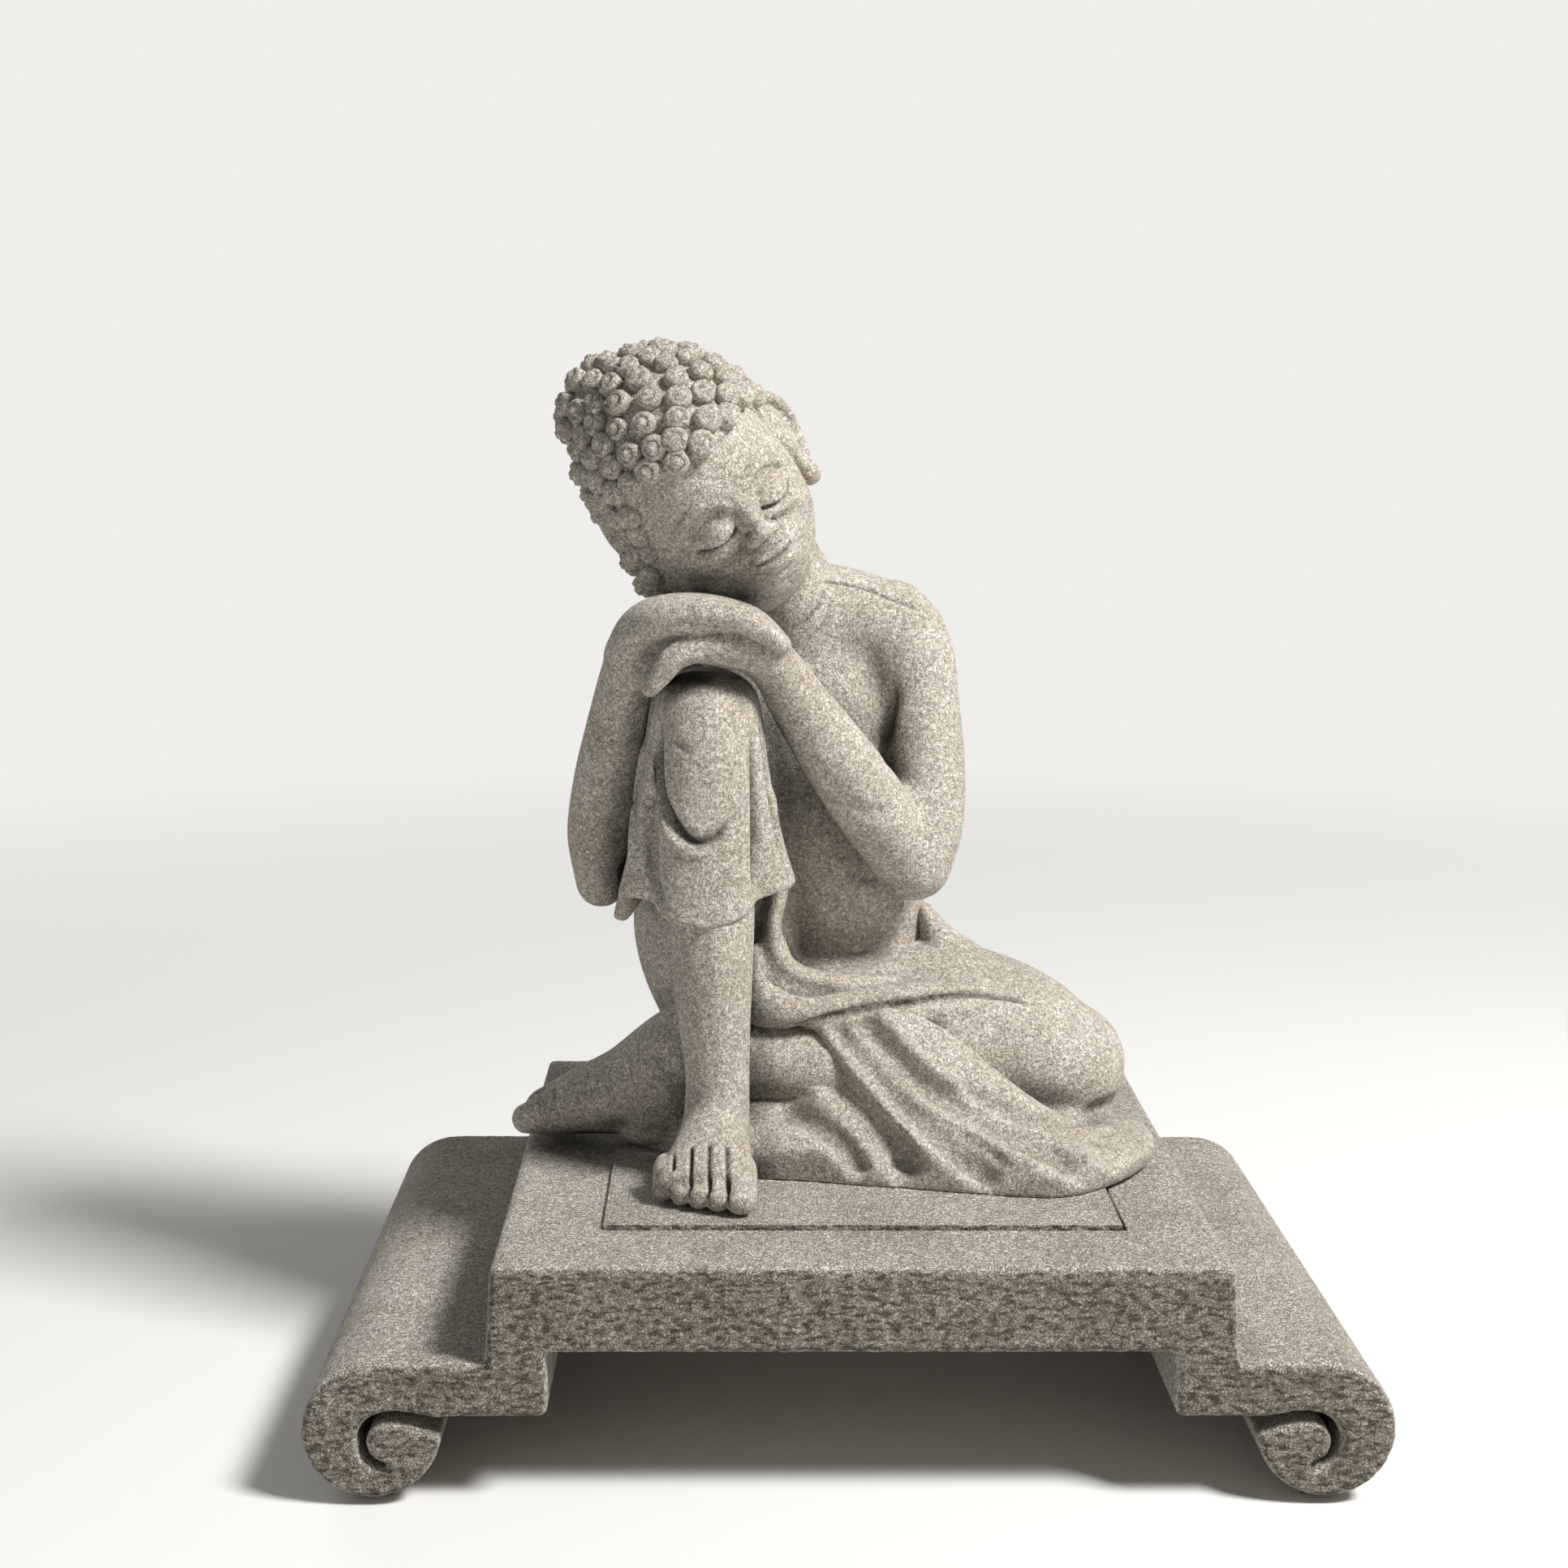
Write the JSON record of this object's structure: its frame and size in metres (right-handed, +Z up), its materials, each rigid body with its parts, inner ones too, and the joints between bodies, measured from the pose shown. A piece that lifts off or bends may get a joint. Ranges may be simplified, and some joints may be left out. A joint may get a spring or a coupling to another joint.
{
  "type": "seated buddha statue on a scroll stand",
  "caption": "Seated stone buddha with its tilted head resting on both hands over a raised knee, set on a low scroll-footed stone stand.",
  "frame": {"origin": "on the ground under the middle of the stand", "axes": "+X to the viewer's right, +Y away from the viewer, +Z up"},
  "size_m": [0.18, 0.126, 0.1903],
  "materials": {
    "figure_stone": "fine dressed sandstone, matt",
    "stand_stone": "sawn and rubbed sandstone, coarser on the front, matt",
    "felt": "thin pressed felt",
    "dowel_steel": "plain drawn rod"
  },
  "bodies": {
    "stand": {"scroll_stand": "stand_stone", "front_left_felt_pad": "felt", "front_right_felt_pad": "felt", "back_left_felt_pad": "felt", "back_right_felt_pad": "felt"},
    "figure": {"seat_panel": "stand_stone", "foot_dowel": "dowel_steel", "lap_dowel": "dowel_steel", "raised_shin": "figure_stone", "raised_foot": "figure_stone", "folded_leg": "figure_stone", "knee_drape": "figure_stone", "left_hand": "figure_stone", "right_hand": "figure_stone", "left_forearm": "figure_stone", "left_upper_arm": "figure_stone", "right_forearm": "figure_stone", "right_upper_arm": "figure_stone", "head": "figure_stone", "hair_cap": "figure_stone", "torso": "figure_stone", "waist_roll": "figure_stone", "thigh_robe": "figure_stone", "lap_robe": "figure_stone", "robe_hem": "figure_stone"}
  },
  "joints": [
    {"name": "figure_lift", "type": "slide", "parent": "stand", "child": "figure", "axis": [0, 0, 1], "range_m": [0, 0.03]}
  ]
}
